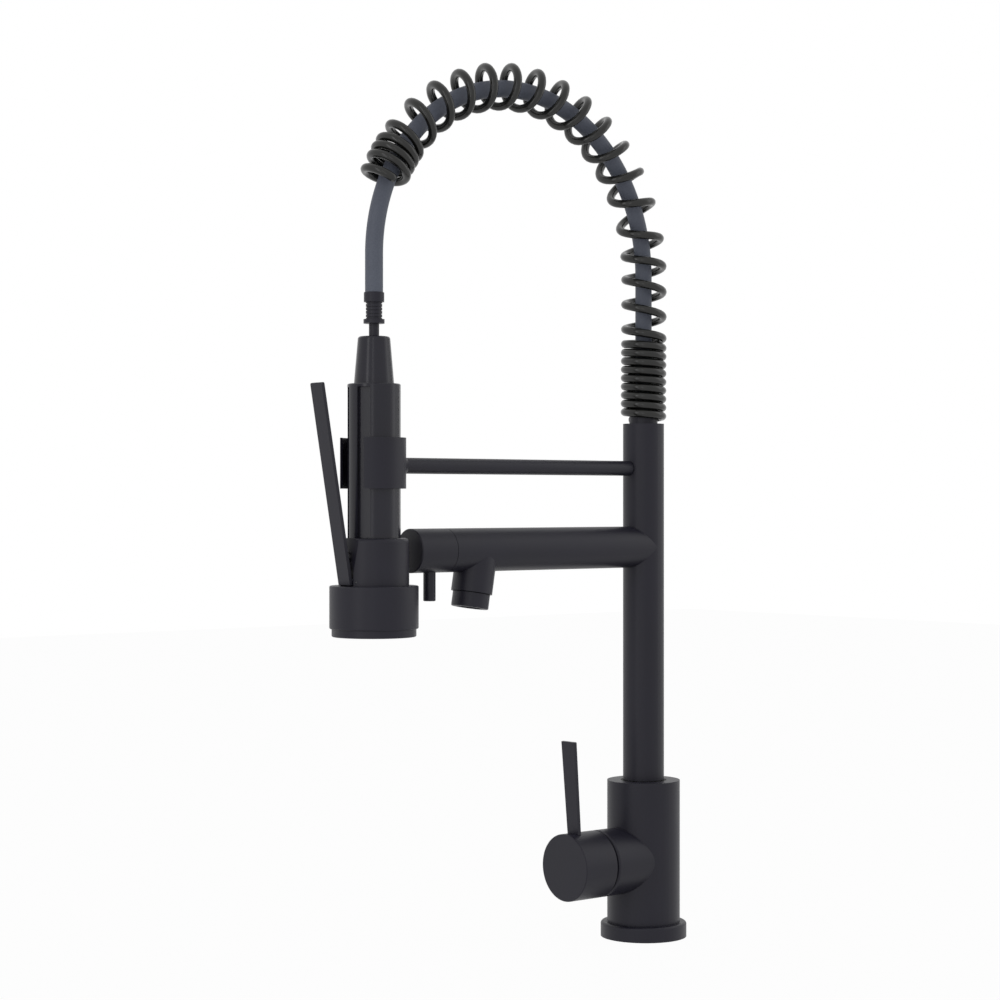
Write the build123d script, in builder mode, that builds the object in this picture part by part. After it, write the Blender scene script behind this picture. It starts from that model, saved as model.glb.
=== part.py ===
"""Spring-arch kitchen mixer with a pull-down sprayer, as separate pieces.

Millimetres. The origin is the centre of the base flange's underside, +Z is up and the spout
reaches towards -Y. Distances called "out" are measured along -Y from the column's axis.
"""

import os
from math import cos, pi, radians, sin, sqrt, tan

from build123d import *

# ---------------------------------------------------------------- driving dimensions

# Fits and clearances
RUNNING_FIT = 0.08  # radial gap where a piece turns or slides in another
SEAT_FIT = 0.05  # radial gap where a piece is screwed or pressed home
SWING_GAP = 0.3  # gap between pieces that move past each other

# Base and mixer body
FLANGE_R = 26.15
FLANGE_H = 9.0
FLANGE_ROUND = 1.5
BODY_R = 22.15
BODY_TOP = 95.2
SPIGOT_R = 18.9  # foot of the body inside the flange
SPIGOT_BOTTOM = 0.0
GASKET_IN_R = 20.5
GASKET_OUT_R = 24.0
GASKET_T = 1.9

# Deck connections in the foot of the body
INLET_R = 4.5
INLET_X = 8.0
INLET_Y = 2.0
INLET_TOP = 20.0
STUD_R = 3.4
STUD_Y = 12.5
STUD_TOP = 24.0

# Water ways
PORT_R = 2.5
PORT_X = 7.0
PORT_BACK_Y = 4.0
OUTLET_PORT_UP = 6.0

# Mixer hub and cartridge, along -Y
HUB_Z = 47.6
HUB_R = 20.0
HUB_SEAM = 38.5
HUB_END = 64.5
HUB_GAP = 1.5
HUB_RIM_ROUND = 1.6
CARTRIDGE_R = 12.5
CARTRIDGE_BACK = 5.0
CARTRIDGE_FRONT = 34.0
NUT_R = 15.9
NUT_BORE_R = 11.0
CARRIER_R = 10.5
CARRIER_BACK = 12.0
CARRIER_FRONT = 31.0
TILT_OUT = 26.5  # pivot of the tilting stem
STEM_R = 3.5
STEM_TAIL = 7.0
TILT_PIN_R = 1.5
DISC_T = 2.5

# Handle of the mixer
CAP_WALL = 1.25
CAP_END_T = 5.0
CAP_BOSS_R = 7.0
CAP_BOSS_BACK = 48.5
LEVER_T = 2.4
LEVER_BOTTOM_W = 9.4
LEVER_TOP_W = 11.0
LEVER_OUT = 56.7  # where the lever leaves the cap
LEVER_LEAN = 4.4  # degrees, outwards
LEVER_TOP = 122.4
LEVER_TENON = 6.0
GRUB_R = 2.0

# Column
TUBE_R = 12.5
TUBE_WALL = 1.5
COLUMN_TOP = 312.5
SWIVEL_BORE_R = 11.5
SWIVEL_BOTTOM = 72.0
SWIVEL_TOP = 112.0
SWIVEL_WATER_R = 7.0
SEAL_WIRE_R = 0.9
SEAL_LOW = 76.0
SEAL_HIGH = 91.0
LOCK_Z = 83.5
LOCK_GROOVE_W = 5.6
LOCK_GROOVE_R = 9.6
LOCK_SCREW_R = 2.4
SLIP_R = 14.0
SLIP_T = 1.5

# Spout
SPOUT_Z = 237.4
SPOUT_SEAM = 155.0
SPOUT_END = 180.4
OUTLET_OUT = 131.5
OUTLET_LEAN = 9.5
OUTLET_R = 11.9
OUTLET_LENGTH = 24.8
AERATOR_R = 10.75
AERATOR_LENGTH = 33.5
AERATOR_SPIGOT_R = 9.5
AERATOR_BORE_R = 8.5
AERATOR_SEAT = 18.0

# Valve in the spout's end
ROTOR_BACK = 112.0
ROTOR_STEM_R = 4.9
ROTOR_WALL = 2.5
ROTOR_PORT_R = 6.5
GLAND_T = 6.0
VALVE_PIN_OUT = 166.3
VALVE_PIN_R = 3.5
VALVE_PIN_BOTTOM = 208.9

# Holder
ROD_Z = 285.2
ROD_R = 4.5
ROD_FLARE_R = 6.7
ROD_FLARE_H = 3.5
ROD_TENON_R = 3.0
HOLDER_R = 18.3
HOLDER_BORE_R = 17.0
HOLDER_OFFSET = 0.6
HOLDER_BOTTOM = 272.3
HOLDER_TOP = 300.5
HOLDER_OPENING = 22.0
HOLDER_SCREW_R = 1.8

# Hose and spring arch
REACH = 205.3
HOSE_R = 5.0
HOSE_BORE_R = 3.0
HOSE_BOTTOM = 304.0
ARCH_START = 402.3
COIL_LIFT = 2.5  # how far the coil's end stands off the hose, outwards
WIRE_R = 2.45
COIL_R = 11.5
POINTS_PER_TURN = 6
COIL_STEPS = (  # steps, and pitch of each stretch from the column to the sprayer's side
    (57, 5.2),
    (24, 15.2),
    (6, 22.8),
    (66, 17.6),
    (6, 17.0),
    (18, 5.2),
    (6, 9.5),
)
SEAT_BOSS_R = 8.6
SEAT_BOSS_H = 9.0

# Hose end
HOSE_NUT_R = 5.65
HOSE_NUT_BOTTOM = 375.7
HOSE_NUT_TOP = 381.1
HOSE_STOP = 376.5
FERRULE_R = 4.55
FERRULE_BOTTOM = 366.1
FERRULE_RIBS = 5
RIB_DEPTH = 0.45
COLLAR_R = 5.85
COLLAR_BOTTOM = 363.8
STEM_THIN_R = 2.85
NIPPLE_R = 2.9
NIPPLE_BORE_R = 2.0

# Sprayer
GRIP_R = 14.8
GRIP_BORE_R = 10.8
GRIP_BOTTOM = 244.9
GRIP_TOP = 330.3
FLUTE_W = 7.6
FLUTE_DEPTH = 3.0
FLUTE_ANGLE = 30.0
FLUTE_TOP = 328.3
CONE_R = 11.15
CONE_TOP_R = 8.9
CONE_TOP = 356.6
CONE_ROUND = 1.6
HOUSING_R = 19.5
HOUSING_BOTTOM = 218.6
HOUSING_BORE_R = 8.0
HOUSING_ROUND = 2.2
FLAT_OUT_LOW = 19.15
FLAT_OUT_HIGH = 17.2
CASING_R = 24.75
CASING_WALL = 2.5
CASING_BOTTOM = 194.7
CASING_ROUND = 0.8
FACE_RING_R = 23.5
FACE_BOTTOM = 190.3
FACE_BORE_R = 21.0
FACE_THREAD_TOP = 203.0
WATER_TUBE_R = 6.0
WATER_TUBE_WALL = 1.2

# Squeeze lever and valve
SQUEEZE_W = 10.5
SQUEEZE_T = 2.0
SQUEEZE_OUT_LOW = 19.4
SQUEEZE_LOW = 219.3
SQUEEZE_OUT_HIGH = 38.5
SQUEEZE_HIGH = 330.0
PIVOT_OUT = 17.0
PIVOT_Z = 221.0
BARREL_R = 2.0
PIVOT_R = 1.1
PIVOT_LENGTH = 16.0
SLOT_W = 12.0
SLOT_TOP = 228.5
PLUNGER_Z = 235.0
PLUNGER_R = 2.4
PLUNGER_HEAD_R = 3.4
PLUNGER_TRAVEL = 2.1
VALVE_WIRE_R = 0.35

os.makedirs("parts", exist_ok=True)


# ---------------------------------------------------------------- shared shapes

def out_plane(z):
    """Plane whose local x is a radius upwards and local y runs along -Y, for turned pieces."""
    return Plane(origin=(0, 0, z), x_dir=(0, 0, 1), z_dir=(1, 0, 0))


UPRIGHT = Plane.XZ
HUB_PLANE = out_plane(HUB_Z)
SPOUT_PLANE = out_plane(SPOUT_Z)
SPRAY_PLANE = Plane(origin=(0, -REACH, 0), x_dir=(1, 0, 0), z_dir=(0, -1, 0))
LEAN = radians(OUTLET_LEAN)
OUTLET_PLANE = Plane(
    origin=(0, -OUTLET_OUT, SPOUT_Z),
    x_dir=(1, 0, 0),
    z_dir=(0, -cos(LEAN), sin(LEAN)),
)  # local y runs up the outlet's axis


def turned(outline, plane):
    """Solid of a closed (radius, height) outline turned about the plane's local y axis."""
    with BuildPart() as body:
        with BuildSketch(plane):
            with BuildLine():
                Polyline(*outline, close=True)
            make_face()
        revolve(axis=Axis(plane.origin, plane.y_dir))
    return body.part


def tube(outer, inner, low, high, plane):
    """Straight tube about the plane's local y axis."""
    return turned([(inner, low), (outer, low), (outer, high), (inner, high)], plane)


def rod(radius, low, high, plane):
    """Straight round bar about the plane's local y axis."""
    return turned([(0, low), (radius, low), (radius, high), (0, high)], plane)


def seal(major, height, plane, wire=SEAL_WIRE_R):
    """Rubber ring of round section about the plane's local y axis."""
    with BuildPart() as ring:
        with BuildSketch(plane):
            with Locations((major, height)):
                Circle(wire)
        revolve(axis=Axis(plane.origin, plane.y_dir))
    return ring.part


def save(builder, name):
    """Label a finished piece and write its STEP file."""
    builder.part.label = name
    export_step(builder.part, f"parts/{name}.step")


# ---------------------------------------------------------------- base

with BuildPart() as base_flange:
    add(tube(FLANGE_R, SPIGOT_R + SEAT_FIT, 0, FLANGE_H, UPRIGHT))
    fillet(base_flange.edges().group_by(Axis.Z)[-1].sort_by(SortBy.RADIUS)[-1], FLANGE_ROUND)
    add(tube(GASKET_OUT_R + SEAT_FIT, GASKET_IN_R - SEAT_FIT, 0, GASKET_T, UPRIGHT), mode=Mode.SUBTRACT)
save(base_flange, "base_flange")

with BuildPart() as deck_gasket:
    add(tube(GASKET_OUT_R, GASKET_IN_R, 0, GASKET_T, UPRIGHT))
save(deck_gasket, "deck_gasket")

SLIP_BOTTOM = BODY_TOP - SLIP_T
NUT_BACK = CARTRIDGE_FRONT

with BuildPart() as mixer_body:
    add(rod(SPIGOT_R, SPIGOT_BOTTOM, FLANGE_H, UPRIGHT))
    add(rod(BODY_R, FLANGE_H, BODY_TOP, UPRIGHT))
    add(rod(HUB_R, 0, HUB_SEAM, HUB_PLANE))
    fillet(mixer_body.edges().filter_by(GeomType.CIRCLE).sort_by(Axis.Y)[0], HUB_RIM_ROUND)
    add(rod(CARTRIDGE_R + SEAT_FIT, CARTRIDGE_BACK, CARTRIDGE_FRONT, HUB_PLANE), mode=Mode.SUBTRACT)
    add(rod(NUT_R + SEAT_FIT, NUT_BACK, HUB_SEAM, HUB_PLANE), mode=Mode.SUBTRACT)
    add(rod(SWIVEL_BORE_R, SWIVEL_BOTTOM, BODY_TOP, UPRIGHT), mode=Mode.SUBTRACT)
    add(rod(SLIP_R + SEAT_FIT, SLIP_BOTTOM, BODY_TOP, UPRIGHT), mode=Mode.SUBTRACT)
    with Locations((-INLET_X, INLET_Y, SPIGOT_BOTTOM), (INLET_X, INLET_Y, SPIGOT_BOTTOM)):
        Cylinder(INLET_R, INLET_TOP - SPIGOT_BOTTOM, align=(Align.CENTER, Align.CENTER, Align.MIN),
                 mode=Mode.SUBTRACT)
    with Locations((-PORT_X, PORT_BACK_Y, INLET_TOP), (PORT_X, PORT_BACK_Y, INLET_TOP)):
        Cylinder(PORT_R, HUB_Z - INLET_TOP, align=(Align.CENTER, Align.CENTER, Align.MIN),
                 mode=Mode.SUBTRACT)
    with Locations((0, PORT_BACK_Y, HUB_Z + OUTLET_PORT_UP)):
        Cylinder(PORT_R, SWIVEL_BOTTOM - HUB_Z - OUTLET_PORT_UP,
                 align=(Align.CENTER, Align.CENTER, Align.MIN), mode=Mode.SUBTRACT)
    with BuildSketch(Plane.XZ.offset(-PORT_BACK_Y - PORT_R)):
        with Locations((-PORT_X, HUB_Z), (PORT_X, HUB_Z), (0, HUB_Z + OUTLET_PORT_UP)):
            Circle(PORT_R)
    extrude(amount=CARTRIDGE_BACK + PORT_BACK_Y + PORT_R, mode=Mode.SUBTRACT)
    with Locations((0, STUD_Y, SPIGOT_BOTTOM)):
        Cylinder(STUD_R, STUD_TOP - SPIGOT_BOTTOM, align=(Align.CENTER, Align.CENTER, Align.MIN),
                 mode=Mode.SUBTRACT)
    with BuildSketch(Plane.XZ.offset(-BODY_R)):
        with Locations((0, LOCK_Z)):
            Circle(LOCK_SCREW_R + SEAT_FIT)
    extrude(amount=BODY_R, mode=Mode.SUBTRACT)
save(mixer_body, "mixer_body")

with BuildPart() as slip_washer:
    add(tube(SLIP_R, SWIVEL_BORE_R, SLIP_BOTTOM, BODY_TOP, UPRIGHT))
save(slip_washer, "slip_washer")

LOCK_TIP = LOCK_GROOVE_R + SWING_GAP
LOCK_HEAD = BODY_R - 1.5 * LOCK_SCREW_R

with BuildPart() as swivel_screw:
    with BuildSketch(Plane.XZ.offset(-LOCK_HEAD)):
        with Locations((0, LOCK_Z)):
            Circle(LOCK_SCREW_R)
    extrude(amount=LOCK_HEAD - LOCK_TIP)
    with BuildSketch(Plane.XZ.offset(-LOCK_HEAD)):
        with Locations((0, LOCK_Z)):
            RegularPolygon(LOCK_SCREW_R / 2, 6)
    extrude(amount=LOCK_SCREW_R, mode=Mode.SUBTRACT)
save(swivel_screw, "swivel_screw")

# ---------------------------------------------------------------- cartridge

CARRIER_BORE_R = CARRIER_R + RUNNING_FIT
STEM_SLOT_W = 2 * (STEM_R + SWING_GAP)

with BuildPart() as cartridge_body:
    add(rod(CARTRIDGE_R, CARTRIDGE_BACK, CARTRIDGE_FRONT, HUB_PLANE))
    add(rod(CARRIER_BORE_R, CARRIER_BACK - SWING_GAP, CARTRIDGE_FRONT, HUB_PLANE), mode=Mode.SUBTRACT)
    with BuildSketch(Plane.XZ.offset(CARTRIDGE_BACK)):
        with Locations((-PORT_X, HUB_Z), (PORT_X, HUB_Z), (0, HUB_Z + OUTLET_PORT_UP)):
            Circle(PORT_R)
    extrude(amount=CARRIER_BACK - CARTRIDGE_BACK, mode=Mode.SUBTRACT)
    with BuildSketch(Plane.XZ.offset(CARTRIDGE_BACK)):
        with Locations((-PORT_X, HUB_Z), (PORT_X, HUB_Z), (0, HUB_Z + OUTLET_PORT_UP)):
            Circle(PORT_R + SEAL_WIRE_R + SEAT_FIT)
    extrude(amount=SEAL_WIRE_R, mode=Mode.SUBTRACT)
save(cartridge_body, "cartridge_body")

with BuildPart() as cartridge_seals:
    with BuildSketch(Plane.XZ.offset(CARTRIDGE_BACK)):
        with Locations((-PORT_X, HUB_Z), (PORT_X, HUB_Z), (0, HUB_Z + OUTLET_PORT_UP)):
            Circle(PORT_R + SEAL_WIRE_R)
            Circle(PORT_R, mode=Mode.SUBTRACT)
    extrude(amount=SEAL_WIRE_R)
save(cartridge_seals, "cartridge_seals")

with BuildPart() as cartridge_nut:
    add(tube(NUT_R, NUT_BORE_R, NUT_BACK, HUB_SEAM - HUB_GAP, HUB_PLANE))
    with BuildSketch(Plane.XZ.offset(HUB_SEAM - HUB_GAP)):
        with Locations((0, HUB_Z)):
            with PolarLocations((NUT_R + NUT_BORE_R) / 2, 6):
                Circle(GRUB_R / 2)
    extrude(amount=-GRUB_R, mode=Mode.SUBTRACT)
save(cartridge_nut, "cartridge_nut")

# Slotted carrier that turns inside the cartridge and carries the tilting stem on its pin
with BuildPart() as cartridge_carrier:
    add(rod(CARRIER_R, CARRIER_BACK + DISC_T, CARRIER_FRONT, HUB_PLANE))
    with BuildSketch(Plane.YZ):
        with BuildLine():
            Polyline(
                (-TILT_OUT + STEM_TAIL + STEM_R, HUB_Z - CARRIER_R),
                (-CARRIER_FRONT, HUB_Z - CARRIER_R),
                (-CARRIER_FRONT, HUB_Z + CARRIER_R),
                (-TILT_OUT + STEM_TAIL + STEM_R, HUB_Z + CARRIER_R),
                close=True,
            )
        make_face()
    extrude(amount=STEM_SLOT_W / 2, both=True, mode=Mode.SUBTRACT)
    with Locations(Location((0, -TILT_OUT, HUB_Z), (0, 90, 0))):
        Cylinder(TILT_PIN_R + SEAT_FIT, 2 * CARRIER_R, mode=Mode.SUBTRACT)
save(cartridge_carrier, "cartridge_carrier")

with BuildPart() as ceramic_disc:
    add(rod(CARRIER_R - SEAT_FIT, CARRIER_BACK, CARRIER_BACK + DISC_T, HUB_PLANE))
    with BuildSketch(Plane.XZ.offset(CARRIER_BACK)):
        with Locations((0, HUB_Z)):
            SlotOverall(2 * PORT_X, 2 * PORT_R)
    extrude(amount=DISC_T / 2, mode=Mode.SUBTRACT)
save(ceramic_disc, "ceramic_disc")

PIN_HALF = sqrt(CARRIER_R ** 2 - TILT_PIN_R ** 2) - SEAT_FIT

with BuildPart() as tilt_pin:
    with Locations(Location((0, -TILT_OUT, HUB_Z), (0, 90, 0))):
        Cylinder(TILT_PIN_R, 2 * PIN_HALF)
save(tilt_pin, "tilt_pin")

CAP_BACK = HUB_SEAM + HUB_GAP
STEM_FRONT = HUB_END - CAP_END_T - SEAT_FIT

with BuildPart() as mixer_stem:
    add(rod(STEM_R, TILT_OUT - STEM_TAIL, STEM_FRONT, HUB_PLANE))
    with Locations(Location((0, -TILT_OUT, HUB_Z), (0, 90, 0))):
        Cylinder(TILT_PIN_R + RUNNING_FIT, 2 * CARRIER_R, mode=Mode.SUBTRACT)
save(mixer_stem, "mixer_stem")

# ---------------------------------------------------------------- mixer handle

CAP_INNER_R = HUB_R - CAP_WALL
LEVER_PLANE = Plane(
    origin=(0, -LEVER_OUT, HUB_Z + HUB_R),
    x_dir=(1, 0, 0),
    z_dir=(0, -cos(radians(LEVER_LEAN)), -sin(radians(LEVER_LEAN))),
)  # local y runs up the lever
LEVER_LENGTH = (LEVER_TOP - HUB_Z - HUB_R) / cos(radians(LEVER_LEAN))

with BuildPart() as handle_cap:
    add(turned([
        (0, HUB_END),
        (HUB_R, HUB_END),
        (HUB_R, CAP_BACK),
        (CAP_INNER_R, CAP_BACK),
        (CAP_INNER_R, HUB_END - CAP_END_T),
        (CAP_BOSS_R, HUB_END - CAP_END_T),
        (CAP_BOSS_R, CAP_BOSS_BACK),
        (0, CAP_BOSS_BACK),
    ], HUB_PLANE))
    fillet(handle_cap.edges().filter_by(GeomType.CIRCLE).sort_by(Axis.Y)[0], CAP_WALL / 2)
    with BuildSketch(LEVER_PLANE):  # block under the lever's foot
        with Locations((0, -LEVER_TENON)):
            Rectangle(LEVER_BOTTOM_W + 2 * CAP_WALL, 2 * LEVER_TENON)
    extrude(amount=(LEVER_T / 2 + CAP_WALL), both=True)
    add(tube(2 * HUB_R, HUB_R, CAP_BACK, HUB_END + LEVER_T, HUB_PLANE), mode=Mode.SUBTRACT)
    add(rod(STEM_R + SEAT_FIT, CAP_BOSS_BACK, HUB_END - CAP_END_T, HUB_PLANE), mode=Mode.SUBTRACT)
    with BuildSketch(LEVER_PLANE):
        with Locations((0, 0)):
            Rectangle(LEVER_BOTTOM_W + 2 * SEAT_FIT, 2 * LEVER_TENON)
    extrude(amount=LEVER_T / 2 + SEAT_FIT, both=True, mode=Mode.SUBTRACT)
    with Locations(Location((0, -(CAP_BOSS_BACK + 2 * GRUB_R), HUB_Z - HUB_R))):
        Cylinder(GRUB_R + SEAT_FIT, HUB_R - STEM_R, align=(Align.CENTER, Align.CENTER, Align.MIN),
                 mode=Mode.SUBTRACT)
save(handle_cap, "handle_cap")

with BuildPart() as handle_lever:
    with BuildSketch(LEVER_PLANE):
        with BuildLine():
            Polyline(
                (-LEVER_BOTTOM_W / 2, -LEVER_TENON + SEAT_FIT),
                (LEVER_BOTTOM_W / 2, -LEVER_TENON + SEAT_FIT),
                (LEVER_BOTTOM_W / 2, 0),
                (LEVER_TOP_W / 2, LEVER_LENGTH),
                (-LEVER_TOP_W / 2, LEVER_LENGTH),
                (-LEVER_BOTTOM_W / 2, 0),
                close=True,
            )
        make_face()
    extrude(amount=LEVER_T / 2, both=True)
    fillet(handle_lever.edges().group_by(Axis.Z)[-1].filter_by(Axis.X), LEVER_T / 4)
save(handle_lever, "handle_lever")

with BuildPart() as handle_screw:
    with Locations(Location((0, -(CAP_BOSS_BACK + 2 * GRUB_R), HUB_Z - CAP_BOSS_R - SWING_GAP))):
        Cylinder(GRUB_R, CAP_BOSS_R - STEM_R, align=(Align.CENTER, Align.CENTER, Align.MIN))
    with BuildSketch(Plane(origin=(0, -(CAP_BOSS_BACK + 2 * GRUB_R), HUB_Z - CAP_BOSS_R - SWING_GAP))):
        RegularPolygon(GRUB_R / 2, 6)
    extrude(amount=GRUB_R, mode=Mode.SUBTRACT)
save(handle_screw, "handle_screw")

# ---------------------------------------------------------------- column

TUBE_BORE_R = TUBE_R - TUBE_WALL
COLUMN_BOTTOM = BODY_TOP + SWING_GAP
SPIGOT_OUTER_R = SWIVEL_BORE_R - RUNNING_FIT
SPIGOT_PLUG_R = TUBE_BORE_R - SEAT_FIT
GROOVE_R = SPIGOT_OUTER_R - 2 * SEAL_WIRE_R
SPOUT_HOLE_R = TUBE_BORE_R - SWING_GAP

with BuildPart() as column_tube:
    add(tube(TUBE_R, TUBE_BORE_R, COLUMN_BOTTOM, COLUMN_TOP, UPRIGHT))
    add(rod(SPOUT_HOLE_R, 0, 2 * TUBE_R, SPOUT_PLANE), mode=Mode.SUBTRACT)
    add(rod(ROD_TENON_R + SEAT_FIT, 0, 2 * TUBE_R, out_plane(ROD_Z)), mode=Mode.SUBTRACT)
save(column_tube, "column_tube")


def groove(height, width, floor, plane, outer):
    """Ring-shaped groove to cut round a spigot about the plane's local y axis."""
    return tube(outer + 1, floor, height - width / 2, height + width / 2, plane)


with BuildPart() as swivel_spigot:
    add(turned([
        (SWIVEL_WATER_R, SWIVEL_BOTTOM + SWING_GAP),
        (SPIGOT_OUTER_R, SWIVEL_BOTTOM + SWING_GAP),
        (SPIGOT_OUTER_R, COLUMN_BOTTOM),
        (SPIGOT_PLUG_R, COLUMN_BOTTOM),
        (SPIGOT_PLUG_R, SWIVEL_TOP),
        (SWIVEL_WATER_R, SWIVEL_TOP),
    ], UPRIGHT))
    for seal_z in (SEAL_LOW, SEAL_HIGH):
        add(groove(seal_z, 2 * SEAL_WIRE_R, GROOVE_R, UPRIGHT, SPIGOT_OUTER_R), mode=Mode.SUBTRACT)
    add(groove(LOCK_Z, LOCK_GROOVE_W, LOCK_GROOVE_R, UPRIGHT, SPIGOT_OUTER_R), mode=Mode.SUBTRACT)
save(swivel_spigot, "swivel_spigot")

with BuildPart() as swivel_seals:
    for seal_z in (SEAL_LOW, SEAL_HIGH):
        add(seal(GROOVE_R + SEAL_WIRE_R, seal_z, UPRIGHT))
save(swivel_seals, "swivel_seals")

# ---------------------------------------------------------------- spout and its outlet

OUTLET_BORE_R = AERATOR_SPIGOT_R - 1.5

with BuildPart() as spout_tube:
    add(tube(TUBE_R, TUBE_BORE_R, 0, SPOUT_SEAM, SPOUT_PLANE))
    add(rod(TUBE_R, SPOUT_Z - 2 * TUBE_R, SPOUT_Z + 2 * TUBE_R, UPRIGHT), mode=Mode.SUBTRACT)
    add(rod(OUTLET_BORE_R, -OUTLET_LENGTH, 0, OUTLET_PLANE), mode=Mode.SUBTRACT)
save(spout_tube, "spout_tube")

with BuildPart() as outlet_branch:
    add(tube(OUTLET_R, OUTLET_BORE_R, -OUTLET_LENGTH, 0, OUTLET_PLANE))
    add(rod(TUBE_R, 0, SPOUT_SEAM, SPOUT_PLANE), mode=Mode.SUBTRACT)
    add(rod(AERATOR_SPIGOT_R + SEAT_FIT, -OUTLET_LENGTH, -AERATOR_SEAT, OUTLET_PLANE),
        mode=Mode.SUBTRACT)
save(outlet_branch, "outlet_branch")

AERATOR_LIP_R = AERATOR_BORE_R - 1.0
WASHER_T = 1.5

with BuildPart() as aerator_housing:
    add(turned([
        (AERATOR_BORE_R, -AERATOR_SEAT - WASHER_T),
        (AERATOR_SPIGOT_R, -AERATOR_SEAT - WASHER_T),
        (AERATOR_SPIGOT_R, -OUTLET_LENGTH),
        (AERATOR_R, -OUTLET_LENGTH),
        (AERATOR_R, -AERATOR_LENGTH),
        (AERATOR_LIP_R, -AERATOR_LENGTH),
        (AERATOR_LIP_R, 1 - AERATOR_LENGTH),
        (AERATOR_BORE_R, 1 - AERATOR_LENGTH),
    ], OUTLET_PLANE))
    chamfer(aerator_housing.edges().filter_by(GeomType.CIRCLE).group_by(SortBy.RADIUS)[-1], WASHER_T / 4)
save(aerator_housing, "aerator_housing")

with BuildPart() as aerator_washer:
    add(tube(AERATOR_SPIGOT_R, OUTLET_BORE_R, -AERATOR_SEAT - WASHER_T, -AERATOR_SEAT, OUTLET_PLANE))
save(aerator_washer, "aerator_washer")

AERATOR_HOLE_R = 0.7
AERATOR_RINGS = (6, 12, 18)

with BuildPart() as aerator_insert:
    add(rod(AERATOR_BORE_R - SEAT_FIT, 1 - AERATOR_LENGTH, -AERATOR_SEAT - WASHER_T, OUTLET_PLANE))
    insert_face = Plane(
        origin=OUTLET_PLANE.origin - OUTLET_PLANE.y_dir * (AERATOR_LENGTH - 1),
        x_dir=OUTLET_PLANE.x_dir,
        z_dir=OUTLET_PLANE.y_dir,
    )
    with BuildSketch(insert_face):
        Circle(AERATOR_HOLE_R)
        for ring, count in enumerate(AERATOR_RINGS, start=1):
            with PolarLocations(ring * AERATOR_LIP_R / (len(AERATOR_RINGS) + 0.5), count):
                Circle(AERATOR_HOLE_R)
    extrude(amount=AERATOR_LENGTH - AERATOR_SEAT, mode=Mode.SUBTRACT)
save(aerator_insert, "aerator_insert")

# ---------------------------------------------------------------- valve in the spout's end

ROTOR_R = TUBE_BORE_R - RUNNING_FIT
ROTOR_FRONT = SPOUT_SEAM - GLAND_T - SWING_GAP
ROTOR_GROOVE_R = ROTOR_R - 2 * SEAL_WIRE_R
ROTOR_SEALS = (ROTOR_BACK + 4.0, ROTOR_FRONT - 3.0)
CAP_BACK_OUT = SPOUT_SEAM + SWING_GAP
ROTOR_STEM_END = SPOUT_END - 2 * VALVE_PIN_R

with BuildPart() as spout_rotor:
    add(turned([
        (ROTOR_R - ROTOR_WALL, ROTOR_BACK),
        (ROTOR_R, ROTOR_BACK),
        (ROTOR_R, ROTOR_FRONT),
        (ROTOR_STEM_R, ROTOR_FRONT),
        (ROTOR_STEM_R, ROTOR_STEM_END),
        (0, ROTOR_STEM_END),
        (0, ROTOR_FRONT - ROTOR_WALL),
        (ROTOR_R - ROTOR_WALL, ROTOR_FRONT - ROTOR_WALL),
    ], SPOUT_PLANE))
    for seal_out in ROTOR_SEALS:
        add(groove(seal_out, 2 * SEAL_WIRE_R, ROTOR_GROOVE_R, SPOUT_PLANE, ROTOR_R), mode=Mode.SUBTRACT)
    add(rod(ROTOR_PORT_R, -TUBE_R, 0, OUTLET_PLANE), mode=Mode.SUBTRACT)
    with Locations((0, -VALVE_PIN_OUT, SPOUT_Z)):
        Cylinder(VALVE_PIN_R / 2 + SEAT_FIT, 2 * TUBE_R, align=(Align.CENTER, Align.CENTER, Align.MAX),
                 mode=Mode.SUBTRACT)
save(spout_rotor, "spout_rotor")

with BuildPart() as rotor_seals:
    for seal_out in ROTOR_SEALS:
        add(seal(ROTOR_GROOVE_R + SEAL_WIRE_R, seal_out, SPOUT_PLANE))
save(rotor_seals, "rotor_seals")

with BuildPart() as valve_gland:
    add(tube(TUBE_BORE_R - SEAT_FIT, ROTOR_STEM_R + RUNNING_FIT, SPOUT_SEAM - GLAND_T, SPOUT_SEAM,
             SPOUT_PLANE))
save(valve_gland, "valve_gland")

with BuildPart() as spout_end_cap:
    add(rod(TUBE_R, CAP_BACK_OUT, SPOUT_END, SPOUT_PLANE))
    chamfer(spout_end_cap.edges().sort_by(Axis.Y)[0], TUBE_WALL / 3)
    add(rod(ROTOR_STEM_R + SEAT_FIT, CAP_BACK_OUT, ROTOR_STEM_END + SEAT_FIT, SPOUT_PLANE),
        mode=Mode.SUBTRACT)
    with Locations((0, -VALVE_PIN_OUT, SPOUT_Z)):
        Cylinder(VALVE_PIN_R + SEAT_FIT, 2 * TUBE_R, align=(Align.CENTER, Align.CENTER, Align.MAX),
                 mode=Mode.SUBTRACT)
save(spout_end_cap, "spout_end_cap")

with BuildPart() as spout_valve_pin:
    with Locations((0, -VALVE_PIN_OUT, VALVE_PIN_BOTTOM)):
        Cylinder(VALVE_PIN_R, SPOUT_Z - ROTOR_STEM_R - SWING_GAP - VALVE_PIN_BOTTOM,
                 align=(Align.CENTER, Align.CENTER, Align.MIN))
        Cylinder(VALVE_PIN_R / 2, SPOUT_Z - SWING_GAP - VALVE_PIN_BOTTOM,
                 align=(Align.CENTER, Align.CENTER, Align.MIN))
    chamfer(spout_valve_pin.edges().sort_by(Axis.Z)[0], WASHER_T / 4)
save(spout_valve_pin, "spout_valve_pin")

# ---------------------------------------------------------------- holder for the sprayer

HOLDER_AXIS_OUT = REACH + HOLDER_OFFSET
ROD_FRONT = HOLDER_AXIS_OUT - HOLDER_R
ROD_PLANE = out_plane(ROD_Z)
HOLDER_WALL = HOLDER_R - HOLDER_BORE_R


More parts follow.
